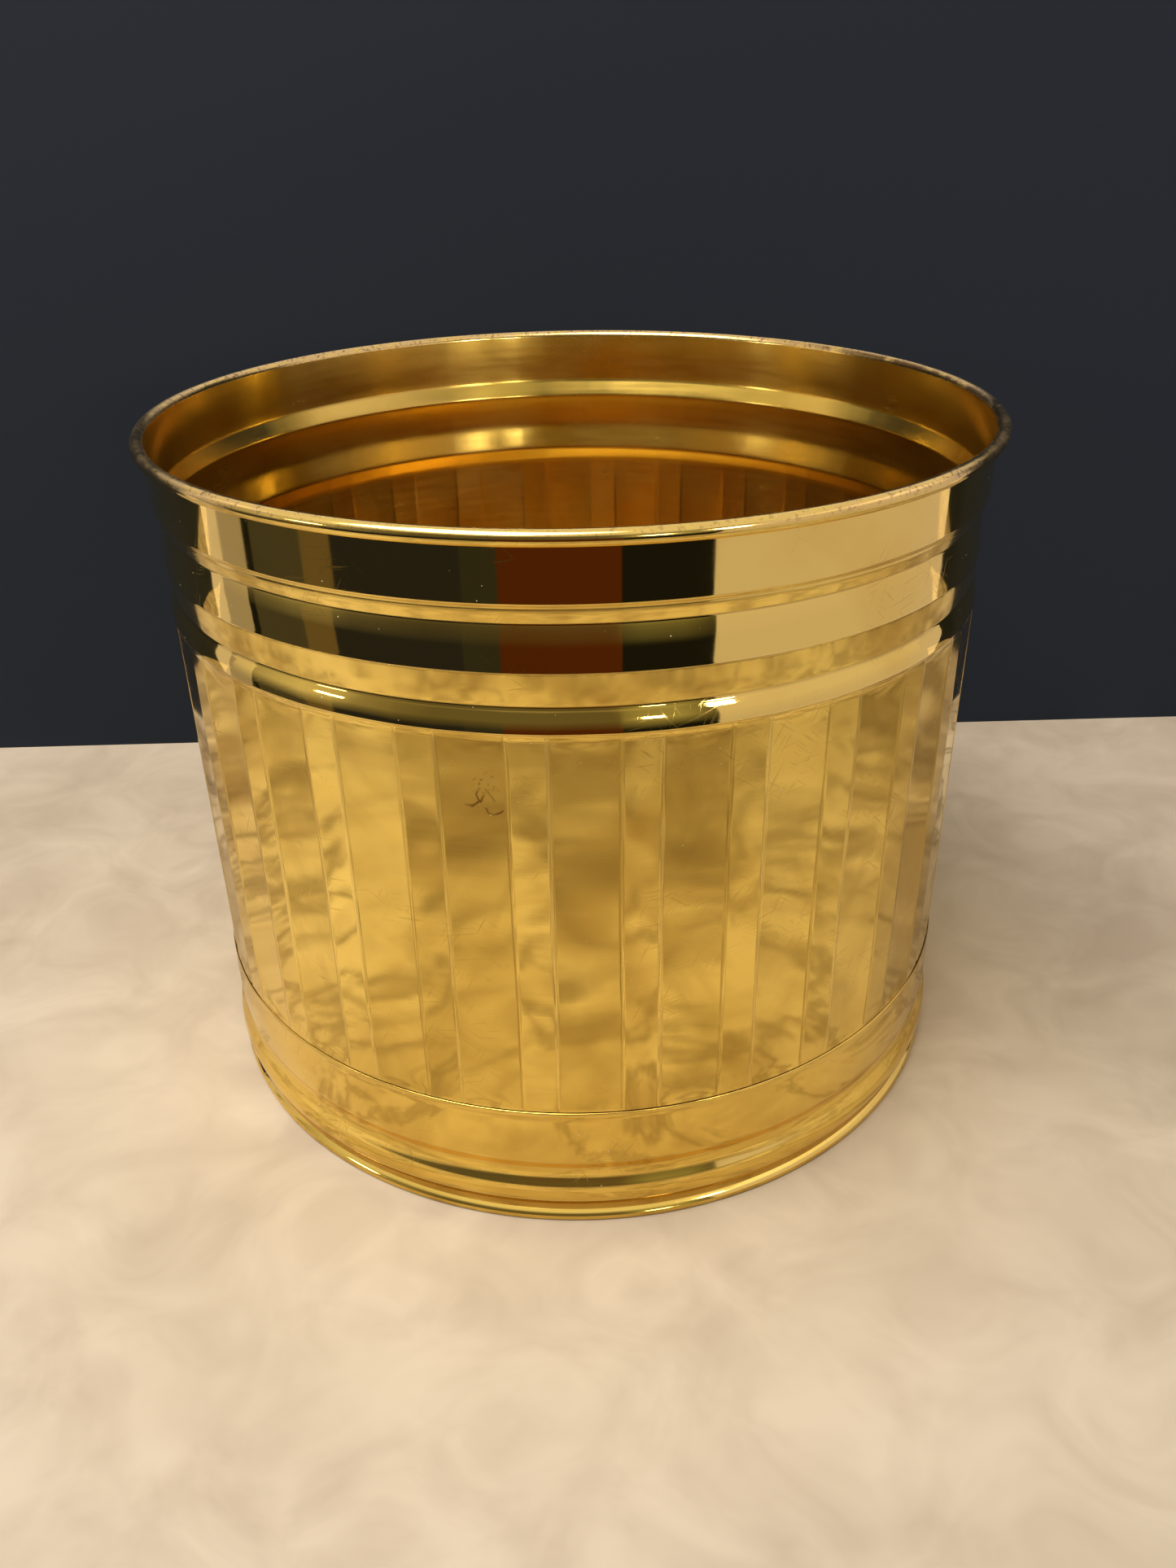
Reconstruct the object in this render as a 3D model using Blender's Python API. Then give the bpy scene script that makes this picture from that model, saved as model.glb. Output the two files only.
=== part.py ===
"""Round brass wastebasket: a faceted sheet wall with a wired rim, a lapped base band and a floor."""
import math

import bmesh
import bpy
from mathutils import Vector

# Overall sizes, in metres.
HEIGHT = 0.1785
RIM_DIAMETER = 0.2160
SHEET = 0.0008
FIT_GAP = 0.0003

# Rolled rim: the sheet turns outward over a wire.
RIM_WIRE_DIAMETER = 0.0012

# Stepped collar, from the rim down. A set-back moves the sheet in, a flare moves it out again.
BAND_1_HEIGHT = 0.0120
STEP_1_HEIGHT = 0.0042
STEP_1_SETBACK = 0.0016
BAND_2_HEIGHT = 0.0104
BAND_2_FLARE = 0.0008
STEP_2_HEIGHT = 0.0074
STEP_2_SETBACK = 0.0005
RING_HEIGHT = 0.0051
RING_FLARE = 0.0009

# Faceted wall: wide and narrow flats alternate.
FACET_PAIRS = 28
WIDE_SHARE = 0.635
FACET_RUNOUT = 0.0015

# Base band: its lip stands proud of the facets' corners and laps the wall's tail.
BASE_BAND_HEIGHT = 0.0352
BASE_BAND_PROUD = 0.0002
LAP_LENGTH = 0.0150
BELLY_BULGE = 0.0002
COVE_HEIGHT = 0.0020
COVE_DEPTH = 0.0005
BEAD_HEIGHT = 0.0110
BEAD_PROJECTION = 0.0018
GROOVE_HEIGHT = 0.0024
FOOT_HEIGHT = 0.0028
FOOT_PROJECTION = 0.0009
FOOT_FLAT = 0.0006

# Floor: a flat disc whose edge sits in the hollow of the bead.
FLOOR_THICKNESS = 0.0010

# Fineness of the round stretches, and the distance that welds the end of a sweep to its start.
ROLL_STEPS = 3
BELLY_STEPS = 3
BEAD_STEPS = 6
FOOT_STEPS = 4
WIRE_STEPS = 8
WELD = 0.00001

# Angles of the facets round the axis. A wide flat faces the front.
PITCH = 2.0 * math.pi / FACET_PAIRS
WIDE_ANGLE = PITCH * WIDE_SHARE
NARROW_ANGLE = PITCH - WIDE_ANGLE

# Places that follow from the sizes above.
ROLL_RADIUS = RIM_WIRE_DIAMETER / 2.0 + FIT_GAP + SHEET
ROLL_CENTRE = Vector((RIM_DIAMETER / 2.0 - ROLL_RADIUS, HEIGHT - ROLL_RADIUS))
BAND_1_RADIUS = ROLL_CENTRE.x - ROLL_RADIUS + SHEET
STEP_1_RADIUS = BAND_1_RADIUS - STEP_1_SETBACK
BAND_2_RADIUS = STEP_1_RADIUS + BAND_2_FLARE
STEP_2_RADIUS = BAND_2_RADIUS - STEP_2_SETBACK
FACET_RADIUS = STEP_2_RADIUS + RING_FLARE
BASE_BAND_RADIUS = FACET_RADIUS + BASE_BAND_PROUD
TAIL_RADIUS = BASE_BAND_RADIUS - SHEET - FIT_GAP
BEAD_ROOT_RADIUS = BASE_BAND_RADIUS - COVE_DEPTH
BEAD_BOTTOM = FOOT_HEIGHT + GROOVE_HEIGHT
BEAD_TOP = BEAD_BOTTOM + BEAD_HEIGHT
BEAD_MIDDLE = (BEAD_TOP + BEAD_BOTTOM) / 2.0
FLOOR_RADIUS = BEAD_ROOT_RADIUS + BEAD_PROJECTION - SHEET - FIT_GAP


def clear_scene():
    for item in list(bpy.data.objects):
        bpy.data.objects.remove(item, do_unlink=True)


def metal(name, color, roughness):
    """A metal finish as a Principled material."""
    material = bpy.data.materials.new(name)
    material.use_nodes = True
    shader = material.node_tree.nodes["Principled BSDF"]
    shader.inputs["Base Color"].default_value = (*color, 1.0)
    shader.inputs["Metallic"].default_value = 1.0
    shader.inputs["Roughness"].default_value = roughness
    return material


def arc(centre, radius, start, end, steps):
    """Points of a circular arc in the section plane, from one angle in degrees to another."""
    points = []
    for step in range(steps + 1):
        angle = math.radians(start + (end - start) * step / steps)
        points.append(centre + radius * Vector((math.cos(angle), math.sin(angle))))
    return points


def bulged_run(top, bottom, bulge, steps):
    """Points from top to bottom along a shallow curve that swells outward by bulge in the middle."""
    points = []
    for step in range(steps + 1):
        share = step / steps
        swell = bulge * math.sin(math.pi * share)
        points.append(top.lerp(bottom, share) + Vector((swell, 0.0)))
    return points


def inner_side(outer):
    """The sheet's other face: each point of the outer face moved in by the sheet's thickness."""
    inner = []
    for index, point in enumerate(outer):
        before = outer[max(index - 1, 0)]
        after = outer[min(index + 1, len(outer) - 1)]
        normal = Vector((0.0, 0.0))
        for start, end in ((before, point), (point, after)):
            run = end - start
            if run.length > 0.0:
                normal += Vector((run.y, -run.x)).normalized()
        inner.append(point + normal.normalized() * SHEET)
    return inner


def sweep(section, closed):
    """Turn a section of (radius, height) points round the Z axis, one pair of facets at a time."""
    mesh = bmesh.new()
    start = Vector((math.cos(-WIDE_ANGLE / 2.0), math.sin(-WIDE_ANGLE / 2.0)))
    corners = [mesh.verts.new((point.x * start.x, point.x * start.y, point.y)) for point in section]
    pairs = list(zip(corners, corners[1:]))
    if closed:
        pairs.append((corners[-1], corners[0]))
    outline = corners + [mesh.edges.new(pair) for pair in pairs]
    for _ in range(FACET_PAIRS):
        for angle, steps in ((WIDE_ANGLE, 2), (NARROW_ANGLE, 1)):
            turned = bmesh.ops.spin(mesh, geom=outline, axis=(0.0, 0.0, 1.0), angle=angle, steps=steps)
            outline = turned["geom_last"]
    bmesh.ops.remove_doubles(mesh, verts=mesh.verts, dist=WELD)
    bmesh.ops.recalc_face_normals(mesh, faces=mesh.faces)
    return mesh


def add_piece(name, mesh, material):
    """Put a finished mesh into the scene as a named piece, smooth except at its sharp edges."""
    data = bpy.data.meshes.new(name)
    mesh.to_mesh(data)
    mesh.free()
    data.materials.append(material)
    data.shade_smooth()
    data.set_sharp_from_angle(angle=math.radians(4.0))
    piece = bpy.data.objects.new(name, data)
    bpy.context.collection.objects.link(piece)
    return piece


def rim_roll():
    """The hollow face of the rolled rim, from its free edge round to the top of the first band."""
    hollow = ROLL_RADIUS - SHEET
    free_edge = -math.degrees(math.acos((SHEET + FIT_GAP - ROLL_RADIUS) / ROLL_RADIUS))
    points = arc(ROLL_CENTRE, hollow, free_edge, -90.0, 1)
    for quarter in (-90.0, 0.0, 90.0):
        points += arc(ROLL_CENTRE, hollow, quarter, quarter + 90.0, ROLL_STEPS)[1:]
    return points


def collar_edges():
    """The edges of the collar's bands and steps below the roll, from the top down."""
    edges = []
    height = HEIGHT - 2.0 * ROLL_RADIUS
    for drop, radius in (
        (BAND_1_HEIGHT, BAND_1_RADIUS),
        (STEP_1_HEIGHT, STEP_1_RADIUS),
        (BAND_2_HEIGHT, BAND_2_RADIUS),
        (STEP_2_HEIGHT, STEP_2_RADIUS),
        (RING_HEIGHT, FACET_RADIUS),
    ):
        height -= drop
        edges.append(Vector((radius, height)))
    return edges


def faceted_wall(material):
    """Rolled rim, stepped collar, pressed facets and the tail inside the base band, all one sheet."""
    collar = collar_edges()
    facet_top = collar[-1].y - FACET_RUNOUT
    set_in = FACET_RADIUS - TAIL_RADIUS
    tail_top = BASE_BAND_HEIGHT + FIT_GAP
    facet_bottom = tail_top + set_in
    outer = rim_roll() + collar
    outer += [
        Vector((FACET_RADIUS, facet_top)),
        Vector((FACET_RADIUS, facet_bottom)),
        Vector((TAIL_RADIUS, tail_top)),
        Vector((TAIL_RADIUS, BASE_BAND_HEIGHT - LAP_LENGTH)),
    ]
    mesh = sweep(outer + inner_side(outer)[::-1], closed=True)
    press_flats(mesh, (facet_bottom + tail_top) / 2.0, facet_top)
    return add_piece("faceted_wall", mesh, material)


def press_flats(mesh, bottom, top):
    """Press the middle of each wide facet in to the straight line between its two corners."""
    flat = math.cos(WIDE_ANGLE / 2.0)
    for corner in mesh.verts:
        turn = math.atan2(corner.co.y, corner.co.x) / PITCH
        in_middle = abs(turn - round(turn)) < WIDE_SHARE / 4.0
        if in_middle and bottom < corner.co.z < top + WELD:
            corner.co.x *= flat
            corner.co.y *= flat


def rim_wire(material):
    """The wire inside the rolled rim."""
    section = arc(ROLL_CENTRE, RIM_WIRE_DIAMETER / 2.0, 360.0, 0.0, WIRE_STEPS)[:-1]
    return add_piece("rim_wire", sweep(section, closed=True), material)


def base_band(material):
    """Belly, cove, bead, groove and hemmed foot of the band that closes the basket's lower end."""
    lip = Vector((BASE_BAND_RADIUS, BASE_BAND_HEIGHT))
    cove_top = Vector((BASE_BAND_RADIUS, BEAD_TOP + COVE_HEIGHT))
    bead_top = Vector((BEAD_ROOT_RADIUS, BEAD_TOP))
    bead_bottom = Vector((BEAD_ROOT_RADIUS, BEAD_BOTTOM))
    groove_bottom = Vector((BEAD_ROOT_RADIUS, FOOT_HEIGHT))
    outer = bulged_run(lip, cove_top, BELLY_BULGE, BELLY_STEPS)
    outer += bulged_run(bead_top, bead_bottom, BEAD_PROJECTION, BEAD_STEPS)
    outer.append(groove_bottom)
    foot_side = Vector((BEAD_ROOT_RADIUS + FOOT_FLAT, 0.0))
    foot = bulged_run(groove_bottom, foot_side, FOOT_PROJECTION, FOOT_STEPS)[1:]
    heel = Vector((BEAD_ROOT_RADIUS - SHEET, 0.0))
    section = outer + foot + [heel] + inner_side(outer)[::-1]
    return add_piece("base_band", sweep(section, closed=True), material)


def floor_pan(material):
    """The flat bottom, level with the widest part of the bead that holds its edge."""
    top = BEAD_MIDDLE + FLOOR_THICKNESS / 2.0
    bottom = BEAD_MIDDLE - FLOOR_THICKNESS / 2.0
    section = [
        Vector((0.0, top)),
        Vector((FLOOR_RADIUS, top)),
        Vector((FLOOR_RADIUS, bottom)),
        Vector((0.0, bottom)),
    ]
    return add_piece("floor_pan", sweep(section, closed=False), material)


clear_scene()
faceted_wall(metal("wall_brass", (0.83, 0.60, 0.22), 0.10))
rim_wire(metal("wire_steel", (0.50, 0.49, 0.47), 0.40))
base_band(metal("band_brass", (0.82, 0.59, 0.21), 0.12))
floor_pan(metal("floor_brass", (0.72, 0.48, 0.16), 0.25))
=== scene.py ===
"""Looks of a round polished brass wastebasket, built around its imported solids."""
import math

import bmesh
import bpy
from mathutils import Matrix, Vector, noise


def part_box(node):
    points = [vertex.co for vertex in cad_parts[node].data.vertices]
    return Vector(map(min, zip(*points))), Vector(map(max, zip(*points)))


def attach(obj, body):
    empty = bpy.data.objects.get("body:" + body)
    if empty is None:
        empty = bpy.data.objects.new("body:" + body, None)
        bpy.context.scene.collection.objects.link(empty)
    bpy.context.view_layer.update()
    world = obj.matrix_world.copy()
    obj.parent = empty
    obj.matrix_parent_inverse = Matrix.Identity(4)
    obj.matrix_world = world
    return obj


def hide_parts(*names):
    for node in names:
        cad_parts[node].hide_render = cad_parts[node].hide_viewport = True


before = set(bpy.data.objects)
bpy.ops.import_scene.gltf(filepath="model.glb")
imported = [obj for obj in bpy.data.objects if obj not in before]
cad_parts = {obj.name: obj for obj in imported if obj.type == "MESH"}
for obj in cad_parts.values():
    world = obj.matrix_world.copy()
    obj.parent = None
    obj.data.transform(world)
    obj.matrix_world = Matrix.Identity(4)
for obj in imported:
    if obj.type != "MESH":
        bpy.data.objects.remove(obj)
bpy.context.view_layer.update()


# Floor pan: the bottom of the basket, a flat disc cut from brass sheet and left satin.
# Its edge is caught all round in the hollow of the base band's bead, and the polishing wheel
# left faint rings on it.

PAN_SEGMENTS = 192
PAN_RINGS = 3
PAN_RING_WIDTH = 0.026
PAN_EDGE_SOFTENING = 0.0002
PAN_SHARP_ANGLE = math.radians(60.0)
PAN_SMOOTH_ANGLE = math.radians(35.0)
pan_low, pan_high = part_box("floor_pan")

bpy.ops.object.select_all(action="DESELECT")
bpy.ops.mesh.primitive_circle_add(
    vertices=PAN_SEGMENTS, radius=pan_high.x, fill_type="NGON", location=(0.0, 0.0, pan_low.z)
)
floor_disc = bpy.context.object
floor_disc.name = "floor_disc"
bpy.ops.object.mode_set(mode="EDIT")
bpy.ops.mesh.select_all(action="SELECT")
bpy.ops.mesh.extrude_region_move(TRANSFORM_OT_translate={"value": (0.0, 0.0, pan_high.z - pan_low.z)})
for _ in range(PAN_RINGS):
    bpy.ops.mesh.inset(thickness=PAN_RING_WIDTH)
bpy.ops.mesh.poke()
bpy.ops.mesh.select_all(action="SELECT")
bpy.ops.mesh.normals_make_consistent(inside=False)
bpy.ops.object.mode_set(mode="OBJECT")


def pick(piece):
    """Make a piece the active one and the only one selected."""
    bpy.ops.object.select_all(action="DESELECT")
    piece.select_set(True)
    bpy.context.view_layer.objects.active = piece


def soften_edges(piece, width, angle):
    """Round every edge of a piece that is sharper than an angle."""
    bevel = piece.modifiers.new("softened_edges", "BEVEL")
    bevel.width = width
    bevel.segments = 2
    bevel.limit_method = "ANGLE"
    bevel.angle_limit = angle
    pick(piece)
    bpy.ops.object.modifier_apply(modifier=bevel.name)


def settle(piece):
    """Put a finished piece's place into its mesh, so that its object sits at the origin."""
    pick(piece)
    bpy.ops.object.transform_apply(location=True, rotation=True, scale=True)


soften_edges(floor_disc, PAN_EDGE_SOFTENING, PAN_SHARP_ANGLE)
settle(floor_disc)
bpy.ops.object.shade_smooth_by_angle(angle=PAN_SMOOTH_ANGLE)


def add_node(tree, kind, **values):
    """Add a shader node and set its properties, or its inputs by their names."""
    node = tree.nodes.new(kind)
    for key, value in values.items():
        if hasattr(node, key):
            setattr(node, key, value)
        else:
            node.inputs[key.replace("_", " ")].default_value = value
    return node


def maths(tree, operation, first, *others):
    """Arithmetic on values taken in turn, each a number or a node's output; one alone is taken with 0."""
    result = first
    for other in others or (0.0,):
        node = add_node(tree, "ShaderNodeMath", operation=operation)
        for socket, value in zip(node.inputs, (result, other)):
            if isinstance(value, (int, float)):
                socket.default_value = value
            else:
                tree.links.new(value, socket)
        result = node.outputs[0]
    return result


def times(tree, *values):
    """The product of values, each a number or a node's output."""
    return maths(tree, "MULTIPLY", *values)


def ranged(tree, value, low, high, to_low, to_high):
    """Carry a value from one range to another, held at both ends."""
    node = add_node(tree, "ShaderNodeMapRange")
    for socket, number in (("From Min", low), ("From Max", high), ("To Min", to_low), ("To Max", to_high)):
        if isinstance(number, (int, float)):
            node.inputs[socket].default_value = number
        else:
            tree.links.new(number, node.inputs[socket])
    tree.links.new(value, node.inputs["Value"])
    return node.outputs["Result"]


def mixed(tree, mask, first, second):
    """A colour that goes from the first to the second as a mask goes from 0 to 1."""
    node = add_node(tree, "ShaderNodeMix", data_type="RGBA")
    tree.links.new(mask, node.inputs["Factor"])
    for socket, color in ((6, first), (7, second)):
        if isinstance(color, tuple):
            node.inputs[socket].default_value = (*color, 1.0)
        else:
            tree.links.new(color, node.inputs[socket])
    return node.outputs[2]


def vector_maths(tree, operation, first, second, output="Vector"):
    """Arithmetic on two vectors, each a set of numbers or a node's output."""
    node = add_node(tree, "ShaderNodeVectorMath", operation=operation)
    for socket, value in zip(node.inputs, (first, second)):
        if isinstance(value, (tuple, Vector)):
            socket.default_value = value
        else:
            tree.links.new(value, socket)
    return node.outputs[output]


def laid_out(tree, across, along, apart=None):
    """A place on a flat layout, with a third value that keeps different patches apart."""
    node = add_node(tree, "ShaderNodeCombineXYZ")
    for socket, value in zip(node.inputs, (across, along, apart)):
        if value is not None:
            tree.links.new(value, socket)
    return node.outputs[0]


def noise_on(tree, vector, scale, detail=2.0, roughness=0.5, distortion=0.0, output="Fac"):
    """Noise at a place, with so many patches to the unit."""
    node = add_node(tree, "ShaderNodeTexNoise", Scale=scale, Detail=detail, Roughness=roughness)
    node.inputs["Distortion"].default_value = distortion
    tree.links.new(vector, node.inputs["Vector"])
    return node.outputs[output]


def new_group(name, inputs, outputs):
    """Start a shader node group with float inputs and float outputs."""
    tree = bpy.data.node_groups.new(name, "ShaderNodeTree")
    for socket, value in inputs.items():
        made = tree.interface.new_socket(socket, in_out="INPUT", socket_type="NodeSocketFloat")
        made.default_value = value
    for socket in outputs:
        tree.interface.new_socket(socket, in_out="OUTPUT", socket_type="NodeSocketFloat")
    return tree, tree.nodes.new("NodeGroupInput"), tree.nodes.new("NodeGroupOutput")


def place_group(tree, group, **values):
    """Place a node group in a material with its own values."""
    node = tree.nodes.new("ShaderNodeGroup")
    node.node_tree = group
    for key, value in values.items():
        node.inputs[key.replace("_", " ")].default_value = value
    return node


def turned_place(tree):
    """Where a point is on a turned piece: its place, way round from the front, radius and height."""
    place = add_node(tree, "ShaderNodeTexCoord").outputs["Object"]
    parts = add_node(tree, "ShaderNodeSeparateXYZ")
    tree.links.new(place, parts.inputs[0])
    across = parts.outputs["X"]
    back = parts.outputs["Y"]
    reach = maths(tree, "ADD", times(tree, across, across), times(tree, back, back))
    radius = maths(tree, "POWER", reach, 0.5)
    around = maths(tree, "ARCTAN2", across, times(tree, back, -1.0))
    return place, around, radius, parts.outputs["Z"]


LAYOUT_RADIUS = 0.105


def unrolled(tree, around, radius, height):
    """The surface laid out flat: metres round the piece, and metres along its outline."""
    return laid_out(tree, times(tree, around, LAYOUT_RADIUS), maths(tree, "ADD", radius, height))


def stretched(tree, vector, angle, along, across):
    """A flat layout turned by an angle in degrees and scaled along and across that direction."""
    node = add_node(tree, "ShaderNodeMapping", vector_type="TEXTURE")
    node.inputs["Rotation"].default_value = (0.0, 0.0, math.radians(angle))
    node.inputs["Scale"].default_value = (1.0 / along, 1.0 / across, 1.0)
    tree.links.new(vector, node.inputs["Vector"])
    return node.outputs[0]


# Each kind of wheel mark: its share of the lines per metre, its drift round the piece and its fine detail.
WHEEL_MARKS = (("Lines", 1.0, 3.0, 2.0), ("Streaks", 0.22, 5.0, 0.0))


def polishing_lines_group():
    """Fine lines that a polishing wheel leaves round a turned piece, from 0 to 1."""
    tree, given, result = new_group("polishing_lines", {"Lines per metre": 5000.0}, ["Lines", "Streaks"])
    _, around, radius, height = turned_place(tree)
    along = maths(tree, "ADD", radius, height)
    for output, share, drift, detail in WHEEL_MARKS:
        count = times(tree, given.outputs["Lines per metre"], share)
        where = laid_out(tree, times(tree, around, drift), times(tree, along, count))
        tree.links.new(noise_on(tree, where, 1.0, detail, 0.6), result.inputs[output])
    return tree


# Each set of scratches: its angle in degrees, and its runs per metre along and across that angle.
SCRATCH_RUNS = ((8.0, 90.0, 2600.0), (62.0, 110.0, 2900.0), (-38.0, 130.0, 3200.0))
SCRATCH_DRIFT = 0.010
SCRATCH_LEVEL = 0.80
SCRATCH_SOFTNESS = 0.03
SPECKS_PER_METRE = 380.0
CLEAN_SHARE = 0.45


def handling_marks_group():
    """Marks of use: short scratches, pin-prick specks and soft smears, each from 0 to 1."""
    inputs = {"Scratch share": 0.10, "Speck size": 0.06}
    tree, given, result = new_group("handling_marks", inputs, ["Scratches", "Specks", "Smears"])
    place, around, radius, height = turned_place(tree)
    drift = add_node(tree, "ShaderNodeVectorMath", operation="SCALE", Scale=SCRATCH_DRIFT)
    tree.links.new(noise_on(tree, place, 16.0, 1.0, output="Color"), drift.inputs[0])
    wandering = vector_maths(tree, "ADD", unrolled(tree, around, radius, height), drift.outputs[0])
    limit = maths(tree, "SUBTRACT", SCRATCH_LEVEL, given.outputs["Scratch share"])
    full = maths(tree, "ADD", limit, SCRATCH_SOFTNESS)
    dashes = []
    for angle, along, across in SCRATCH_RUNS:
        run = stretched(tree, wandering, angle, along, across)
        dashes.append(ranged(tree, noise_on(tree, run, 1.0, 0.0), limit, full, 0.0, 1.0))
    grouped = ranged(tree, noise_on(tree, place, 45.0, 1.0), 0.52, 0.60, 0.0, 1.0)
    scratches = times(tree, maths(tree, "MAXIMUM", *dashes), grouped)
    tree.links.new(scratches, result.inputs["Scratches"])
    dots = add_node(tree, "ShaderNodeTexVoronoi", feature="F1", Scale=SPECKS_PER_METRE)
    tree.links.new(place, dots.inputs["Vector"])
    chance = add_node(tree, "ShaderNodeSeparateColor")
    tree.links.new(dots.outputs["Color"], chance.inputs[0])
    size = ranged(tree, chance.outputs[1], 0.0, 1.0, 0.35, 1.0)
    size = times(tree, given.outputs["Speck size"], size)
    dot = maths(tree, "LESS_THAN", dots.outputs["Distance"], size)
    rare = maths(tree, "GREATER_THAN", chance.outputs[0], CLEAN_SHARE)
    tree.links.new(times(tree, dot, rare), result.inputs["Specks"])
    tree.links.new(noise_on(tree, place, 30.0, 3.0, 0.55, 0.8), result.inputs["Smears"])
    return tree


polishing_lines = polishing_lines_group()
handling_marks = handling_marks_group()


def new_metal(name):
    """A metal material, its node tree and its shader."""
    material = bpy.data.materials.new(name)
    material.use_nodes = True
    shader = material.node_tree.nodes["Principled BSDF"]
    shader.inputs["Metallic"].default_value = 1.0
    return material, material.node_tree, shader


MARK_DEPTH = 0.0002
SPECK_BROWN = (0.30, 0.18, 0.05)
SATIN_GRAIN = 0.70
SATIN_GRAIN_TURN = 0.25


def satin_brass(name, bright, deep, roughness, ring_gloss, ring_relief):
    """Brass that was never buffed: rings from the wheel, soft smears and a little browning."""
    material, tree, shader = new_metal(name)
    lines = place_group(tree, polishing_lines, Lines_per_metre=3000.0)
    marks = place_group(tree, handling_marks, Scratch_share=0.05, Speck_size=0.04)
    browned = ranged(tree, marks.outputs["Smears"], 0.42, 0.78, 0.0, 0.7)
    color = mixed(tree, browned, bright, deep)
    color = mixed(tree, times(tree, marks.outputs["Specks"], 0.35), color, SPECK_BROWN)
    tree.links.new(color, shader.inputs["Base Color"])
    worn = ranged(tree, marks.outputs["Smears"], 0.25, 0.75, roughness - 0.05, roughness + 0.08)
    lined = ranged(tree, lines.outputs["Streaks"], 0.3, 0.7, -0.5 * ring_gloss, ring_gloss)
    tree.links.new(maths(tree, "ADD", worn, lined), shader.inputs["Roughness"])
    relief = add_node(tree, "ShaderNodeBump", Strength=ring_relief, Distance=MARK_DEPTH)
    tree.links.new(lines.outputs["Streaks"], relief.inputs["Height"])
    tree.links.new(relief.outputs["Normal"], shader.inputs["Normal"])
    shader.inputs["Anisotropic"].default_value = SATIN_GRAIN
    shader.inputs["Anisotropic Rotation"].default_value = SATIN_GRAIN_TURN
    return material


FLOOR_BRIGHT = (0.66, 0.46, 0.115)
FLOOR_DEEP = (0.50, 0.32, 0.065)
floor_finish = satin_brass(
    "floor_satin_brass", FLOOR_BRIGHT, FLOOR_DEEP, roughness=0.38, ring_gloss=0.08, ring_relief=0.05
)
floor_disc.data.materials.append(floor_finish)
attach(floor_disc, "root")
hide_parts("floor_pan")


# Base band: a strip of brass turned into a ring and rolled to a plain belly, a cove, a bold bead,
# a groove and a hemmed foot. It is lapped over the tail of the wall and soldered, and buffed bright
# outside.

SHEET = 0.0008
MM = 0.001
_, band_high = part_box("base_band")
lip_height = band_high.z / MM

# The outline from the lip down, as radius and height in millimetres.
LIP_BEAD = ((105.20, lip_height), (105.33, lip_height - 0.9), (105.22, lip_height - 1.9))
BELLY = ((105.22, lip_height - 1.9), (105.36, 29.5), (105.42, 26.0), (105.38, 22.0), (105.28, 19.2))
COVE = ((105.28, 19.2), (104.85, 17.9), (104.45, 16.7), (104.42, 15.9))
BEAD = ((104.42, 15.9), (104.72, 14.5), (105.28, 13.1), (105.92, 11.7), (106.36, 10.4), (106.54, 9.0),
        (106.46, 7.9), (106.10, 6.9), (105.40, 6.0))
GROOVE = ((105.40, 6.0), (104.86, 5.0), (104.70, 4.0), (104.80, 2.9))
FOOT = ((104.80, 2.9), (105.12, 2.62), (105.55, 2.2), (105.95, 1.65), (106.06, 1.2), (105.98, 0.5),
        (105.45, 0.0))
HEEL_RADIUS = 103.9
LIP_ROUNDING = 0.00022
OUTLINE_STEPS = 4
BAND_SEGMENTS = 336
BAND_WELD = 0.000002
BAND_SMOOTH_ANGLE = math.radians(40.0)


def in_metres(corners):
    """The corners of an outline in millimetres as points in metres."""
    return [Vector(corner) * MM for corner in corners]


def flowing(corners, steps):
    """Points along a smooth line through the corners of an outline, given in millimetres."""
    places = in_metres(corners)
    places = [places[0] * 2.0 - places[1]] + places + [places[-1] * 2.0 - places[-2]]
    points = []
    for before, here, there, after in zip(places, places[1:], places[2:], places[3:]):
        for step in range(steps):
            share = step / steps
            bend = (before * -1.0 + here * 3.0 - there * 3.0 + after) * share ** 3
            bend += (before * 2.0 - here * 5.0 + there * 4.0 - after) * share ** 2
            points.append(here + 0.5 * (bend + (there - before) * share))
    return points + [places[-2]]


def rounded(before, corner, after, radius, steps):
    """Points that take a corner of an outline round by a small radius."""
    start = corner + (before - corner).normalized() * radius
    end = corner + (after - corner).normalized() * radius
    points = []
    for step in range(steps + 1):
        share = step / steps
        points.append(start.lerp(corner, share).lerp(corner.lerp(end, share), share))
    return points


def inner_face(outer, thickness):
    """The other face of a sheet: each point of its outer face moved in by the thickness."""
    inner = []
    for index, point in enumerate(outer):
        before = outer[max(index - 1, 0)]
        after = outer[min(index + 1, len(outer) - 1)]
        run = after - before
        inner.append(point + Vector((run.y, -run.x)).normalized() * thickness)
    return inner


def draw_outline(name, points, start_angle):
    """Draw a closed outline, point by point, in the half-plane at an angle round the axis."""
    facing = Vector((math.cos(start_angle), math.sin(start_angle), 0.0))
    places = [facing * point.x + Vector((0.0, 0.0, point.y)) for point in points]
    bpy.ops.object.select_all(action="DESELECT")
    bpy.ops.mesh.primitive_plane_add(size=SHEET, location=(0.0, 0.0, 0.0))
    piece = bpy.context.object
    piece.name = name
    bpy.ops.object.mode_set(mode="EDIT")
    bpy.ops.mesh.select_all(action="SELECT")
    bpy.ops.mesh.merge(type="CENTER")
    bpy.ops.transform.translate(value=places[0])
    for here, there in zip(places, places[1:]):
        bpy.ops.mesh.extrude_region_move(TRANSFORM_OT_translate={"value": there - here})
    mesh = bmesh.from_edit_mesh(piece.data)
    mesh.verts.ensure_lookup_table()
    mesh.verts[0].select_set(True)
    mesh.select_flush_mode()
    bmesh.update_edit_mesh(piece.data)
    bpy.ops.mesh.edge_face_add()
    bpy.ops.mesh.select_all(action="SELECT")
    return piece


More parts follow.
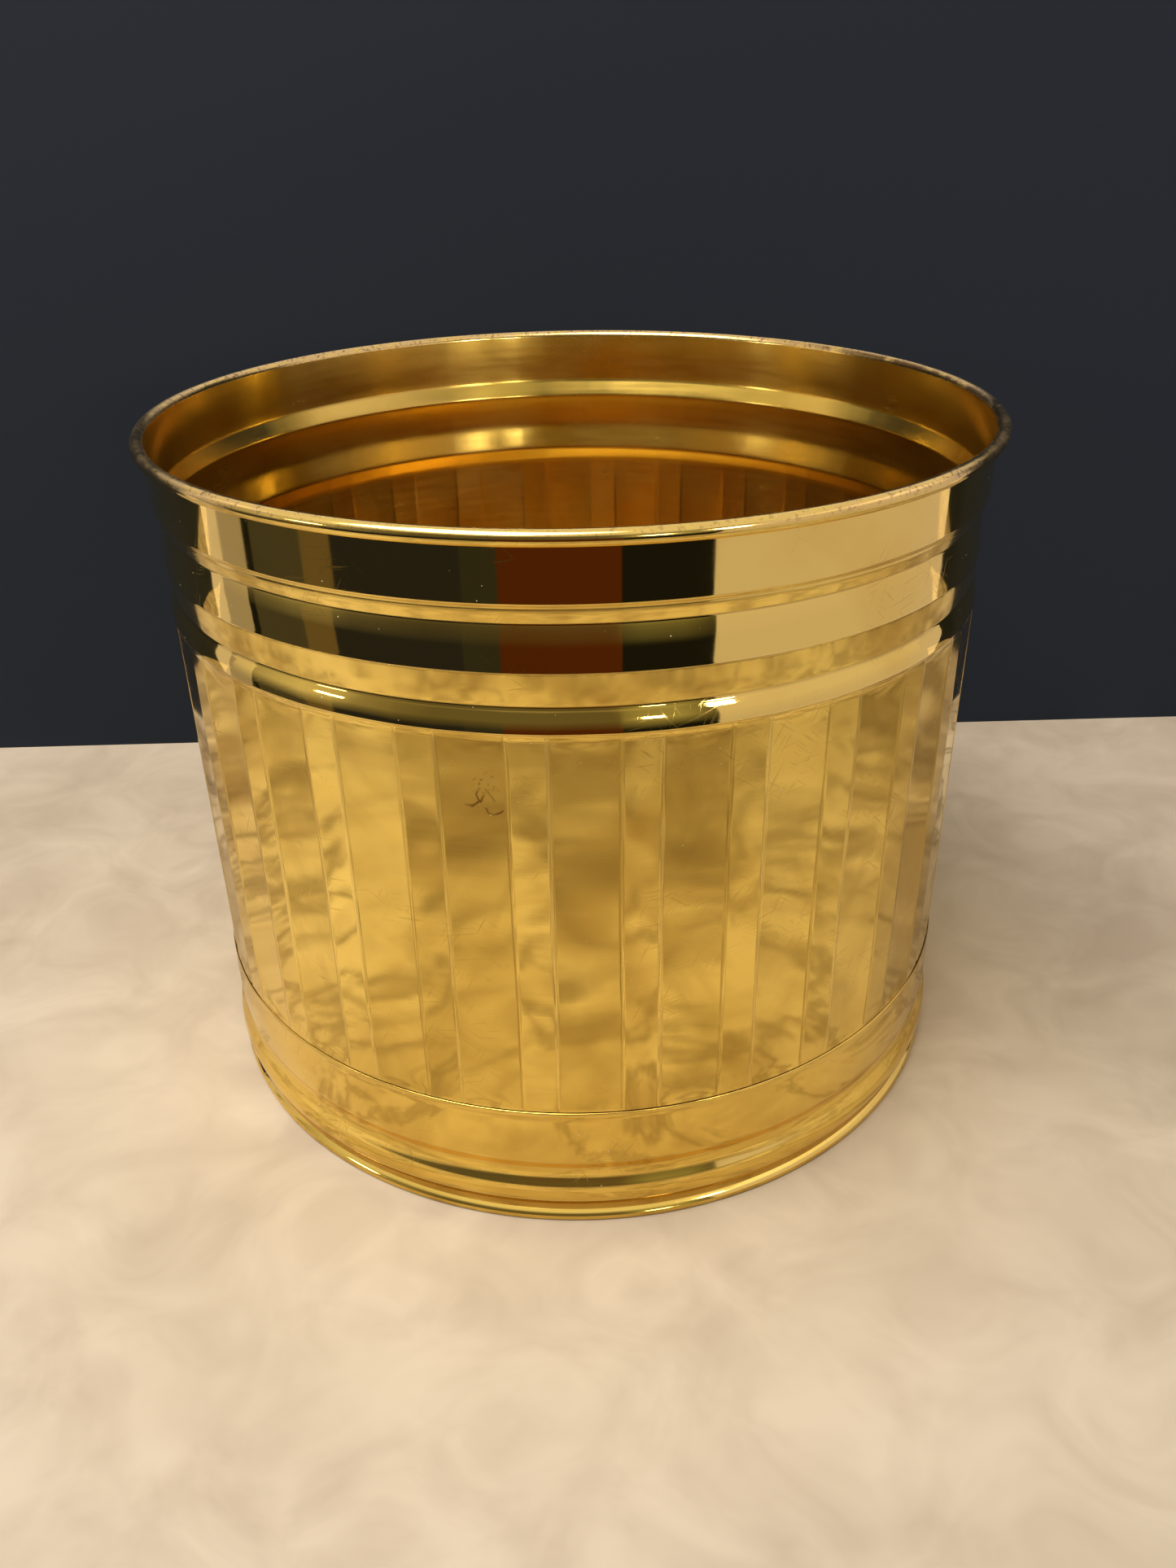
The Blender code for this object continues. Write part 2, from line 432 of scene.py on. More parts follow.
def turn(angle, steps, copies=False):
    """Sweep or copy what is selected round the axis, to the left as seen from above."""
    bpy.ops.mesh.spin(
        steps=steps, dupli=copies, angle=angle, center=(0.0, 0.0, 0.0), axis=(0.0, 0.0, -1.0)
    )


def close_turned(weld):
    """Join the end of a full turn to its start and face everything outward."""
    bpy.ops.mesh.select_all(action="SELECT")
    bpy.ops.mesh.remove_doubles(threshold=weld)
    bpy.ops.mesh.normals_make_consistent(inside=False)
    bpy.ops.object.mode_set(mode="OBJECT")


band_outer = []
for stretch in (LIP_BEAD, BELLY, COVE, BEAD, GROOVE):
    band_outer += flowing(stretch, OUTLINE_STEPS)[:-1]
lip = band_outer[0]
band_outline = rounded(lip - Vector((SHEET, 0.0)), lip, band_outer[2], LIP_ROUNDING, OUTLINE_STEPS)
band_outline += band_outer[2:] + flowing(FOOT, OUTLINE_STEPS) + [Vector((HEEL_RADIUS * MM, 0.0))]
band_outline += inner_face(band_outer, SHEET)[::-1]

base_moulding = draw_outline("base_moulding", band_outline, 0.0)
turn(2.0 * math.pi, BAND_SEGMENTS)
close_turned(BAND_WELD)
bpy.ops.object.shade_smooth_by_angle(angle=BAND_SMOOTH_ANGLE)

BRIGHT_BRASS = (0.91, 0.665, 0.170)
DEEP_BRASS = (0.78, 0.51, 0.095)
SCRATCH_BROWN = (0.40, 0.25, 0.06)
DUST_GREY = (0.80, 0.77, 0.70)


def polished_brass(name, roughness):
    """Buffed brass: a mirror broken by fine wheel lines, smears, dust, scratches and slight browning.

    Returns its material, tree and shader, and its colour and roughness for more to be laid over them.
    """
    material, tree, shader = new_metal(name)
    lines = place_group(tree, polishing_lines, Lines_per_metre=5000.0)
    marks = place_group(tree, handling_marks, Scratch_share=0.07, Speck_size=0.062)
    scratches = marks.outputs["Scratches"]
    specks = marks.outputs["Specks"]
    browned = ranged(tree, marks.outputs["Smears"], 0.45, 0.80, 0.0, 0.55)
    color = mixed(tree, browned, BRIGHT_BRASS, DEEP_BRASS)
    color = mixed(tree, times(tree, scratches, 0.28), color, SCRATCH_BROWN)
    color = mixed(tree, times(tree, specks, 0.7), color, DUST_GREY)
    tree.links.new(ranged(tree, specks, 0.0, 1.0, 1.0, 0.0), shader.inputs["Metallic"])
    gloss = maths(
        tree,
        "ADD",
        ranged(tree, marks.outputs["Smears"], 0.30, 0.75, roughness - 0.01, roughness + 0.03),
        ranged(tree, lines.outputs["Lines"], 0.3, 0.7, -0.01, 0.02),
        times(tree, scratches, 0.16),
        times(tree, specks, 0.40),
    )
    relief = add_node(tree, "ShaderNodeBump", Strength=0.008, Distance=MARK_DEPTH)
    scored = times(tree, scratches, -2.0)
    tree.links.new(maths(tree, "ADD", lines.outputs["Lines"], scored), relief.inputs["Height"])
    tree.links.new(relief.outputs["Normal"], shader.inputs["Normal"])
    return material, tree, shader, color, gloss


MOULDING_ROUGHNESS = 0.065
SEAM_BROWN = (0.42, 0.27, 0.06)
SEAM_DEPTH = 0.0006
SEAM_FADE = 0.0001
GROOVE_SHADE_BROWN = (0.60, 0.37, 0.07)
GROOVE_HEIGHT = 0.0041
GROOVE_CORE = 0.0006
GROOVE_FADE = 0.0018


def moulding_finish():
    """The base band's outside: polished brass, darker along the lapped seam's lip, with painted shade in
    the groove.
    """
    material, tree, shader, color, gloss = polished_brass("band_polished_brass", MOULDING_ROUGHNESS)
    _, _, _, height = turned_place(tree)
    # The lip's top along the lapped seam is mixed to a darker brown.
    seam = ranged(tree, height, band_high.z - SEAM_DEPTH, band_high.z - SEAM_FADE, 0.0, 0.35)
    color = mixed(tree, seam, color, SEAM_BROWN)
    # Painted shade: the groove between the bead and the foot is darkened brown.
    off_groove = maths(tree, "ABSOLUTE", maths(tree, "SUBTRACT", height, GROOVE_HEIGHT))
    groove_shade = ranged(tree, off_groove, GROOVE_CORE, GROOVE_FADE, 0.7, 0.0)
    color = mixed(tree, groove_shade, color, GROOVE_SHADE_BROWN)
    dulled = times(tree, maths(tree, "ADD", seam, groove_shade), 0.15)
    tree.links.new(color, shader.inputs["Base Color"])
    tree.links.new(maths(tree, "ADD", gloss, dulled), shader.inputs["Roughness"])
    return material


base_moulding.data.materials.append(moulding_finish())
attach(base_moulding, "root")
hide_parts("base_band")


# Wall: one brass sheet. Its top edge is rolled out over a wire, the collar below is rolled into bands,
# steps and a ring, the long wall is pressed into wide and narrow flats, and a set-in tail slips inside
# the base band.

wall_low, wall_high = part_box("faceted_wall")
RIM_ROLL = 0.0017
ROLL_FREE_EDGE = -110.7
ROLL_STEPS = 24

# The collar from the roll down, as radius and height in millimetres.
BAND_1 = ((105.40, 176.5), (105.40, 170.0), (105.40, 164.0), (105.40, 163.75))
BAND_1_EDGE = (105.40, 163.4)
STEP_1 = ((105.02, 163.0), (104.87, 162.62), (104.85, 162.50), (104.84, 162.38), (104.84, 161.92),
          (104.82, 161.80), (104.62, 161.38), (104.40, 160.8), (104.08, 159.8), (103.86, 159.3),
          (103.78, 159.05))
BAND_2 = ((103.86, 158.7), (104.10, 157.2), (104.42, 154.8), (104.68, 151.8), (104.82, 149.5),
          (104.84, 149.2))
STEP_2 = ((104.80, 148.8), (104.76, 148.5), (104.56, 147.0), (104.28, 145.0), (103.98, 143.2),
          (103.70, 141.7))
NECK = (103.60, 141.3)
RING = ((103.96, 140.7), (104.46, 139.7), (104.86, 138.6), (105.14, 137.4), (105.29, 136.4),
        (105.32, 136.15))
RING_UNDER = (105.18, 135.8)
COLLAR_INSIDE = ((104.60, 168.0), (104.60, 163.6), (104.36, 162.5), (103.55, 160.5), (102.96, 159.0),
                 (102.82, 158.3), (103.12, 157.0), (103.58, 154.6), (103.88, 151.8), (104.02, 149.2),
                 (103.92, 147.8), (103.58, 145.8), (103.20, 143.6), (102.88, 141.8), (102.84, 140.9),
                 (103.20, 139.9), (103.70, 138.6), (104.15, 137.2))
COLLAR_ROUNDING = 0.00022

# The flats below the collar: their number and places, and how deep they are pressed.
FACET_TOP = 0.1356
FACET_FOOT = 0.0355
FACET_RADIUS = 0.1050
FACET_PAIRS = 28
WIDE_SHARE = 0.635
FACET_ROWS = 44
ROW_EASING = 0.35
INNER_ROW_STEP = 3
WIDE_COLUMNS = (-0.30, -0.10, 0.10, 0.30)
NARROW_COLUMNS = (0.0, 0.08, 0.5, 0.92, 1.0)
SHOULDER_WIDTH = 0.00035
SHOULDER_DEPTH = 0.00010
SHOULDER_RUNOUT = 0.0015
PANEL_DISH = 0.00009
DISH_RUNOUT = 0.013
FLAT_RUNOUT = 0.004
RING_TOUCH = 0.30
TAIL_RADIUS = 0.1041
TAIL_TOP = 0.0352
WALL_WELD = 0.00001
WALL_SMOOTH_ANGLE = math.radians(50.0)

PITCH = 2.0 * math.pi / FACET_PAIRS
WIDE = PITCH * WIDE_SHARE
NARROW = PITCH - WIDE
roll_centre = Vector((wall_high.x - RIM_ROLL, wall_high.z - RIM_ROLL))


def arc(centre, radius, start, end, steps):
    """Points of a circular arc in the outline's plane, from one angle in degrees to another."""
    points = []
    for step in range(steps + 1):
        angle = math.radians(start + (end - start) * step / steps)
        points.append(centre + radius * Vector((math.cos(angle), math.sin(angle))))
    return points


roll = arc(roll_centre, RIM_ROLL - SHEET, ROLL_FREE_EDGE, 180.0, ROLL_STEPS)
band_1_edge = Vector(BAND_1_EDGE) * MM
step_1_run = in_metres(STEP_1)
collar = in_metres(BAND_1) + rounded(roll[-1], band_1_edge, step_1_run[0], COLLAR_ROUNDING, 3) + step_1_run
collar += flowing(BAND_2, 3) + flowing(STEP_2, 2) + in_metres([NECK])
collar += flowing(RING, 3) + in_metres([RING_UNDER])
facet_run = []
for row in range(FACET_ROWS + 1):
    share = row / FACET_ROWS
    eased = (1.0 - ROW_EASING) * share + ROW_EASING * (0.5 - 0.5 * math.cos(math.pi * share))
    facet_run.append(Vector((FACET_RADIUS, FACET_TOP + (FACET_FOOT - FACET_TOP) * eased)))
tail = [Vector((TAIL_RADIUS, TAIL_TOP)), Vector((TAIL_RADIUS, wall_low.z))]
wall_outer = roll + collar + facet_run + tail
wall_inner = inner_face(roll + collar[:1], SHEET)[:-1] + flowing(COLLAR_INSIDE, 2)
wall_inner = (wall_inner + inner_face(facet_run[::INNER_ROW_STEP] + tail, SHEET))[::-1]

shoulder = SHOULDER_WIDTH / FACET_RADIUS
wide_places = [-WIDE / 2.0 + shoulder, -WIDE / 2.0 + 2.0 * shoulder]
wide_places += [WIDE * share for share in WIDE_COLUMNS]
wide_places += [WIDE / 2.0 - 2.0 * shoulder, WIDE / 2.0 - shoulder]
narrow_places = [WIDE / 2.0 + NARROW * share for share in NARROW_COLUMNS]
columns = wide_places + narrow_places + [PITCH + wide_places[0]]
wall_sheet = draw_outline("wall_sheet", wall_outer + wall_inner, columns[0])
for here, there in zip(columns, columns[1:]):
    turn(there - here, 1)


def eased_in(distance, length):
    """0 at an end of the facets, 1 from a length away, with a smooth run between."""
    share = max(0.0, min(1.0, distance / length))
    return share * share * (3.0 - 2.0 * share)


def flatness(height):
    """How far a height is pressed flat: the ring is only touched, and the facets run out at their foot."""
    ring_high = NECK[1] * MM
    if height >= FACET_TOP:
        return RING_TOUCH * max(0.0, 1.0 - (height - FACET_TOP) / (ring_high - FACET_TOP))
    below_ring = RING_TOUCH + (1.0 - RING_TOUCH) * eased_in(FACET_TOP - height, FLAT_RUNOUT)
    return min(below_ring, eased_in(height - TAIL_TOP, FLAT_RUNOUT))


def press_panel(piece):
    """Press one wide and one narrow flat into the turned sheet, the wide one set in and dished."""
    mesh = bmesh.from_edit_mesh(piece.data)
    for corner in mesh.verts:
        height = corner.co.z
        pressed = flatness(height)
        if pressed <= 0.0:
            continue
        radius = math.hypot(corner.co.x, corner.co.y)
        angle = math.atan2(corner.co.y, corner.co.x)
        offset = angle if angle < WIDE / 2.0 + NARROW else angle - PITCH
        if abs(offset) < WIDE / 2.0 - 0.5 * shoulder:
            half = WIDE / 2.0
            end = min(FACET_TOP - height, height - TAIL_TOP)
            set_in = SHOULDER_DEPTH * eased_in(end, SHOULDER_RUNOUT)
            set_in += PANEL_DISH * (1.0 - (offset / half) ** 2) * eased_in(end, DISH_RUNOUT)
        else:
            half = NARROW / 2.0
            offset -= math.copysign(PITCH / 2.0, offset)
            set_in = 0.0
        flat = math.cos(half) / math.cos(offset)
        factor = 1.0 + pressed * (flat - 1.0) - set_in / radius
        corner.co.x *= factor
        corner.co.y *= factor
    bmesh.update_edit_mesh(piece.data)


press_panel(wall_sheet)
bpy.ops.mesh.select_all(action="SELECT")
turn(PITCH * (FACET_PAIRS - 1), FACET_PAIRS - 1, copies=True)
close_turned(WALL_WELD)

# Where the sheet's outside is bent sharply out or in, and how near a corner has to be to count.
COLLAR_EDGES = (0.16335, 0.14920, 0.13615)
COLLAR_CREASES = (0.16300, 0.16180, 0.15905, 0.14880, 0.14130, 0.13580)
EDGE_NEAR = 0.0002
CREASE_NEAR = 0.0001
CREASE_RUNOUT = 0.001
OUTSIDE_RADIUS = 0.1047
WAIST_RADIUS = 0.1035
WAIST_TOP = 0.1592

# Each flat's own place in the noise of its clouds, and its own tone, a painted reflection tone for its
# slight tilt.
SHEET_NOTES = ("crease_shade", "edge", "narrow", "flat", "tone")
FLAT_SPACING = 0.37
NARROW_SPACING = 5.3
TONE_SEED = 178.95
TONE_SPACING = 0.83
NARROW_TONE_SPACING = 3.7
TONE_SPREAD = 0.55


def note_sheet(piece):
    """Note on the sheet where its creases, edges and flats are, for the finish."""
    for name in SHEET_NOTES:
        piece.data.attributes.new(name, "FLOAT", "POINT")
    notes = {name: piece.data.attributes[name].data for name in SHEET_NOTES}
    half = WIDE / 2.0
    nudge = 0.25 * shoulder
    near = 0.5 * shoulder
    for corner in piece.data.vertices:
        height = corner.co.z
        radius = math.hypot(corner.co.x, corner.co.y)
        angle = math.atan2(corner.co.y, corner.co.x)
        outside = radius > OUTSIDE_RADIUS or (radius > WAIST_RADIUS and FACET_TOP < height < WAIST_TOP)
        collar_edge = outside and min(abs(height - edge) for edge in COLLAR_EDGES) < EDGE_NEAR
        collar_crease = outside and min(abs(height - edge) for edge in COLLAR_CREASES) < CREASE_NEAR
        within = (angle + half + nudge) % PITCH - half - nudge
        before = within < -half + near
        narrow = within > half - near or before
        pair = math.floor((angle + half + nudge) / PITCH)
        pair = (pair - 1 if before else pair) % FACET_PAIRS
        reach = eased_in(min(FACET_TOP - height, height - FACET_FOOT), CREASE_RUNOUT)
        facet_crease = reach * (abs(within - half + shoulder) < near)
        facet_edge = reach * (abs(within + half) < near)
        # Painted reflection: each flat gets its own tone, as its slight tilt would give its reflection.
        own_reflection_tone = noise.noise((TONE_SPACING * pair, NARROW_TONE_SPACING * narrow, TONE_SEED))
        notes["crease_shade"][corner.index].value = max(facet_crease, collar_crease)
        notes["edge"][corner.index].value = max(facet_edge, collar_edge)
        notes["narrow"][corner.index].value = float(narrow)
        notes["flat"][corner.index].value = FLAT_SPACING * pair + (NARROW_SPACING if narrow else 0.0)
        notes["tone"][corner.index].value = TONE_SPREAD * max(-1.0, min(1.0, 2.0 * own_reflection_tone))


# Waves left by the pressing: patches to the metre, and depth.
HAND_WAVES = ((22.0, 0.00016), (65.0, 0.00005))
COLLAR_WAVES = ((16.0, 0.00003),)
WAVE_RUNOUT = 0.010
EDGE_WANDER = 0.00035
WANDER_PATCHES = 27.0


def press_by_hand(piece):
    """Give the sheet the slight unevenness of hand pressing."""
    for corner in piece.data.vertices:
        facets = eased_in(min(FACET_TOP - corner.co.z, corner.co.z - FACET_FOOT), WAVE_RUNOUT)
        angle = math.atan2(corner.co.y, corner.co.x)
        outward = Vector((math.cos(angle), math.sin(angle), 0.0))
        sideways = Vector((-outward.y, outward.x, 0.0))
        flats_shift = sum(depth * noise.noise(corner.co * patches) for patches, depth in HAND_WAVES)
        collar_shift = sum(depth * noise.noise(corner.co * patches) for patches, depth in COLLAR_WAVES)
        wander = EDGE_WANDER * noise.noise(corner.co * WANDER_PATCHES) * facets
        corner.co += outward * (flats_shift * facets + collar_shift * (1.0 - facets)) + sideways * wander


note_sheet(wall_sheet)
press_by_hand(wall_sheet)
bpy.ops.object.shade_smooth_by_angle(angle=WALL_SMOOTH_ANGLE)

# Clouds on the wide and the narrow flats, partly random tone and partly painted reflection: patches to the
# metre across and along, and twist.
FLAT_REFLECTION_CLOUDS = ((40.0, 24.0, 1.3), (22.0, 95.0, 0.5))
REFLECTION_CLOUD_BRASS = (0.61, 0.42, 0.09)
RIPPLES_ACROSS = 14.0
RIPPLES_ALONG = 120.0
RIPPLE_DEPTH = 0.00004


def on_flat(tree, around, height, across, along, flat):
    """A flat's own place in a noise of so many patches to the metre across and along."""
    turned = times(tree, around, LAYOUT_RADIUS * across)
    return laid_out(tree, turned, times(tree, height, along), flat)


def flat_reflection_clouds(tree, around, height, noted):
    """How far the flats are clouded, partly a random tone and partly painted reflection: in patches on the
    wide ones, in streaks on the narrow ones.
    """
    clouds = []
    for across, along, twist in FLAT_REFLECTION_CLOUDS:
        where = on_flat(tree, around, height, across, along, noted["flat"])
        clouds.append(noise_on(tree, where, 1.0, 3.0, 0.55, twist))
    wide_cloud = ranged(tree, clouds[0], 0.38, 0.70, 0.05, 0.70)
    narrow_cloud = ranged(tree, clouds[1], 0.45, 0.72, 0.0, 0.45)
    wide_cloud = times(tree, wide_cloud, maths(tree, "SUBTRACT", 1.0, noted["narrow"]))
    narrow_cloud = times(tree, narrow_cloud, noted["narrow"])
    return maths(tree, "ADD", wide_cloud, narrow_cloud, noted["tone"])


COLLAR_STEPS = ((0.15910, 0.16330), (0.14140, 0.14870))
STEP_FADE = 0.0004


def on_steps(tree, height):
    """A mask of the collar's two set-back steps."""
    steps = []
    for low, high in COLLAR_STEPS:
        above = ranged(tree, height, low, low + STEP_FADE, 0.0, 1.0)
        below = ranged(tree, height, high - STEP_FADE, high, 1.0, 0.0)
        steps.append(times(tree, above, below))
    return maths(tree, "MAXIMUM", *steps)


# A dried trickle on a front flat: its strokes in millimetres from its place on the sheet laid out flat.
STAIN_PLACE = Vector((-0.0212, 0.2254))
STAIN_STROKES = (
    ((-4.1, -1.7), (-2.5, -2.1), (-0.9, -0.8), (-1.6, 0.7), (-0.6, 2.2)),
    ((0.5, 2.2), (1.4, 1.1), (2.4, -0.4)),
    ((-0.7, -1.0), (0.2, 0.7)),
    ((0.5, -2.4), (0.9, -3.5), (2.1, -3.7), (3.3, -3.0), (4.1, -2.4)),
)
STAIN_BROWN = (0.20, 0.10, 0.03)
STAIN_CORE = 0.00012
STAIN_FADE = 0.00032
STAIN_WAVER = 0.0006
FLECKS_OFF = Vector((0.6, 3.4))
FLECKS_CORE = 0.0015
FLECKS_REACH = 0.0040


def trickle_strokes(tree, place, flat):
    """Thin wavering strokes on the surface laid out flat, as a mask from 0 to 1."""
    waver = noise_on(tree, place, 700.0, 1.0, output="Color")
    waver = vector_maths(tree, "MULTIPLY", waver, (STAIN_WAVER, STAIN_WAVER, 0.0))
    wavering = vector_maths(tree, "SUBTRACT", flat, waver)
    middle = STAIN_PLACE - 0.5 * Vector((STAIN_WAVER, STAIN_WAVER))
    gaps = []
    for stroke in STAIN_STROKES:
        for start, end in zip(stroke, stroke[1:]):
            run = (Vector(end) - Vector(start)) * MM
            origin = (middle + Vector(start) * MM).to_3d()
            from_start = vector_maths(tree, "SUBTRACT", wavering, origin)
            one_run = (run / run.length_squared).to_3d()
            share = vector_maths(tree, "DOT_PRODUCT", from_start, one_run, "Value")
            along = add_node(tree, "ShaderNodeVectorMath", operation="SCALE")
            along.inputs[0].default_value = run.to_3d()
            tree.links.new(ranged(tree, share, 0.0, 1.0, 0.0, 1.0), along.inputs["Scale"])
            gaps.append(vector_maths(tree, "DISTANCE", from_start, along.outputs[0], "Value"))
    return ranged(tree, maths(tree, "MINIMUM", *gaps), STAIN_CORE, STAIN_FADE, 1.0, 0.0)


def trickle_stain(tree, place, flat, color):
    """A colour with the dried trickle and its flecks laid over it."""
    dried = ranged(tree, noise_on(tree, place, 300.0, 1.0), 0.35, 0.60, 0.25, 0.80)
    stained = times(tree, trickle_strokes(tree, place, flat), dried)
    color = mixed(tree, stained, color, STAIN_BROWN)
    fleck_gap = vector_maths(tree, "DISTANCE", flat, (STAIN_PLACE + FLECKS_OFF * MM).to_3d(), "Value")
    flecks = ranged(tree, noise_on(tree, place, 1100.0, 1.0), 0.60, 0.66, 0.0, 1.0)
    nearby = ranged(tree, fleck_gap, FLECKS_CORE, FLECKS_REACH, 0.5, 0.0)
    return mixed(tree, times(tree, flecks, nearby), color, STAIN_BROWN)


CRUST_BROWN = (0.64, 0.45, 0.26)
PIT_BROWN = (0.15, 0.08, 0.03)
RIM_BROWN = (0.13, 0.065, 0.025)


def rim_tarnish(tree, place, around, radius, height, color):
    """A colour with the roll's pitted crust and the brown along its inside laid over it, and their mask."""
    crust = noise_on(tree, place, 150.0, 4.0, 0.65)
    top = ranged(tree, height, roll_centre.y - 0.0004, roll_centre.y + 0.0010, 0.0, 1.0)
    aside = ranged(tree, maths(tree, "ABSOLUTE", around), 0.30, 1.0, 0.40, 1.0)
    worn = times(tree, top, ranged(tree, crust, 0.36, 0.56, 0.42, 0.85), aside)
    color = mixed(tree, worn, color, CRUST_BROWN)
    pits = ranged(tree, noise_on(tree, place, 900.0, 2.0, 0.6), 0.56, 0.63, 0.0, 0.85)
    color = mixed(tree, times(tree, worn, pits), color, PIT_BROWN)
    inner_top = ranged(tree, radius, roll_centre.x - 0.0011, roll_centre.x - 0.0003, 1.0, 0.0)
    inner_top = times(tree, top, inner_top)
    right_start = ranged(tree, around, 0.05, 0.5, 0.0, 1.0)
    right_end = ranged(tree, around, 2.1, 2.6, 1.0, 0.0)
    right_side = times(tree, right_start, right_end)
    brown = times(tree, inner_top, right_side, ranged(tree, crust, 0.34, 0.52, 0.25, 0.95))
    return mixed(tree, brown, color, RIM_BROWN), maths(tree, "MAXIMUM", worn, brown)


WALL_ROUGHNESS = 0.035
CREASE_SHADE_BROWN = (0.24, 0.13, 0.025)
RUBBED_HIGHLIGHT_BRASS = (0.96, 0.76, 0.32)


def wall_finish():
    """The wall's outside: mirror bands, flats with painted reflection, painted shade in creases, painted
    highlight on rubbed edges, a tarnished rim.
    """
    material, tree, shader, color, gloss = polished_brass("wall_polished_brass", WALL_ROUGHNESS)
    place, around, radius, height = turned_place(tree)
    noted = {}
    for name in SHEET_NOTES:
        noted[name] = add_node(tree, "ShaderNodeAttribute", attribute_name=name).outputs["Fac"]
    above_foot = ranged(tree, height, FACET_FOOT, FACET_FOOT + 0.001, 0.0, 1.0)
    below_top = ranged(tree, height, FACET_TOP - 0.0006, FACET_TOP, 1.0, 0.0)
    facets = times(tree, above_foot, below_top)
    cloud = flat_reflection_clouds(tree, around, height, noted)
    # Painted reflection: the clouds and each flat's own tone darken the brass as mottled reflections would.
    color = mixed(tree, times(tree, facets, cloud), color, REFLECTION_CLOUD_BRASS)
    dulled = times(tree, facets, ranged(tree, cloud, 0.0, 0.8, 0.012, 0.05))
    gloss = maths(tree, "ADD", gloss, dulled, times(tree, on_steps(tree, height), 0.06))
    ripple_place = on_flat(tree, around, height, RIPPLES_ACROSS, RIPPLES_ALONG, noted["flat"])
    rippled = add_node(tree, "ShaderNodeBump", Strength=1.0, Distance=RIPPLE_DEPTH)
    ripples = times(tree, facets, noise_on(tree, ripple_place, 1.0, 1.0))
    tree.links.new(ripples, rippled.inputs["Height"])
    polished_relief = shader.inputs["Normal"].links[0].from_node
    tree.links.new(rippled.outputs["Normal"], polished_relief.inputs["Normal"])
    broken = ranged(tree, noise_on(tree, place, 60.0, 2.0), 0.35, 0.65, 0.25, 0.75)
    # Painted shade: the creases and sharp bends are darkened brown where shade falls in them.
    browned = ranged(tree, broken, 0.25, 0.75, 0.15, 0.50)
    color = mixed(tree, times(tree, noted["crease_shade"], browned), color, CREASE_SHADE_BROWN)
    # Rubbed edges: real wear, painted lighter as a highlight along the edges.
    rubbed_highlight = ranged(tree, broken, 0.25, 0.75, 0.10, 0.50)
    color = mixed(tree, times(tree, noted["edge"], rubbed_highlight), color, RUBBED_HIGHLIGHT_BRASS)
    color = trickle_stain(tree, place, unrolled(tree, around, radius, height), color)
    color, tarnished = rim_tarnish(tree, place, around, radius, height, color)
    gloss = maths(tree, "ADD", gloss, times(tree, tarnished, 0.26))
    tree.links.new(color, shader.inputs["Base Color"])
    tree.links.new(gloss, shader.inputs["Roughness"])
    return material


# Painted shade: the inside's brass is darker than the outside's, as the inside of the mouth is shaded.
INSIDE_SHADED_BRIGHT = (0.71, 0.498, 0.115)
INSIDE_SHADED_DEEP = (0.565, 0.373, 0.068)
wall_sheet.data.materials.append(wall_finish())
inside_finish = satin_brass(
    "wall_inside_brass", INSIDE_SHADED_BRIGHT, INSIDE_SHADED_DEEP, roughness=0.20, ring_gloss=0.02, ring_relief=0.004
)
wall_sheet.data.materials.append(inside_finish)
for face in wall_sheet.data.polygons:
    outward = face.center.x * face.normal.x + face.center.y * face.normal.y
    face.material_index = 1 if outward < 0.0 and face.center.z < roll_centre.y else 0
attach(wall_sheet, "root")
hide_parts("faceted_wall")


# Rim wire: a ring of drawn steel wire that the wall's top edge is rolled over. It stiffens the mouth
# and shows only as a sliver in the open seam under the roll.

STEEL_BRIGHT = (0.52, 0.51, 0.49)
STEEL_DULL = (0.30, 0.24, 0.18)


def drawn_steel(name):
    """Drawn steel wire, dulled and browned in patches."""
    material, tree, shader = new_metal(name)
    marks = place_group(tree, handling_marks, Scratch_share=0.20, Speck_size=0.12)
    dull = ranged(tree, marks.outputs["Smears"], 0.35, 0.70, 0.0, 1.0)
    tree.links.new(mixed(tree, dull, STEEL_BRIGHT, STEEL_DULL), shader.inputs["Base Color"])
    tree.links.new(ranged(tree, marks.outputs["Smears"], 0.3, 0.7, 0.32, 0.55), shader.inputs["Roughness"])
    return material


rim_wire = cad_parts["rim_wire"]
rim_wire.data.materials.clear()
rim_wire.data.materials.append(drawn_steel("wire_drawn_steel"))


# Table: a plain pale table top, softly clouded like honed stone. Reflections show it paler and more veined,
# with painted light at the sides and painted shade close by and far off, and except behind they leave out
# its far parts, so that the mirror bands show the dark surround and panels.

TABLE_SIDE = 1.80
PALE_STONE = (0.76, 0.68, 0.59)
CLOUDED_STONE = (0.58, 0.50, 0.42)
MIRROR_REACH = 0.42
MIRROR_SIDE = math.radians(100.0)
MIRROR_PALE = (0.84, 0.75, 0.62)
MIRROR_CLOUDED = (0.44, 0.35, 0.25)
MIRROR_SIDE_LIGHT = (0.98, 0.93, 0.92)
MIRROR_VEIN = (0.20, 0.155, 0.105)
MIRROR_FAR_SHADE = (0.20, 0.17, 0.13)
MIRROR_CLOSE_SHADOW = (0.36, 0.29, 0.20)


